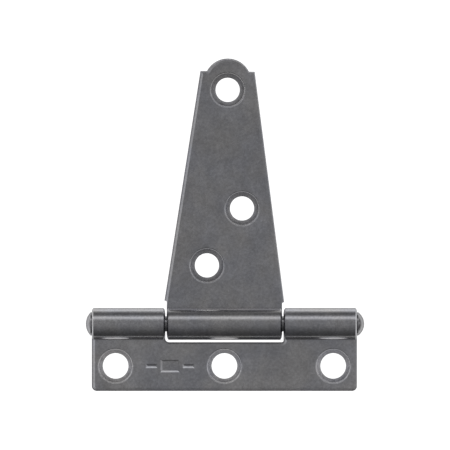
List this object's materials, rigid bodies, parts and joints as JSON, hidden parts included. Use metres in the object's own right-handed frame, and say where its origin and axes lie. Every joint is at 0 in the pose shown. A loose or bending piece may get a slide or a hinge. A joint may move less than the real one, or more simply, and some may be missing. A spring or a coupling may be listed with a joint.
{
  "type": "t hinge",
  "caption": "Light surface-mounted T hinge: a short wide leaf and a long tapered strap, rolled from flat steel round a rivet pin, with countersunk screw holes.",
  "frame": {"origin": "middle screw hole of the fixed leaf, on the leaf's back face", "axes": "+X along the hinge pin, +Y from the fixed leaf towards the strap's tip, +Z out of the mounting plane, with the hinge open flat and both backs on Z = 0"},
  "size_m": [0.0798, 0.0955, 0.0092],
  "materials": {
    "leaf_steel": "zinc plated, satin, rolled sheet",
    "strap_steel": "zinc plated, satin, rolled sheet",
    "pin_steel": "zinc plated, drawn wire with riveted heads"
  },
  "bodies": {
    "fixed_leaf": {"fixed_leaf": "leaf_steel", "hinge_pin": "pin_steel"},
    "strap": {"strap_leaf": "strap_steel"}
  },
  "joints": [
    {"name": "hinge", "type": "hinge", "parent": "fixed_leaf", "child": "strap", "pos_m": [0, 0.0121, 0.00458], "axis": [1, 0, 0], "range_deg": [-90, 190]}
  ]
}
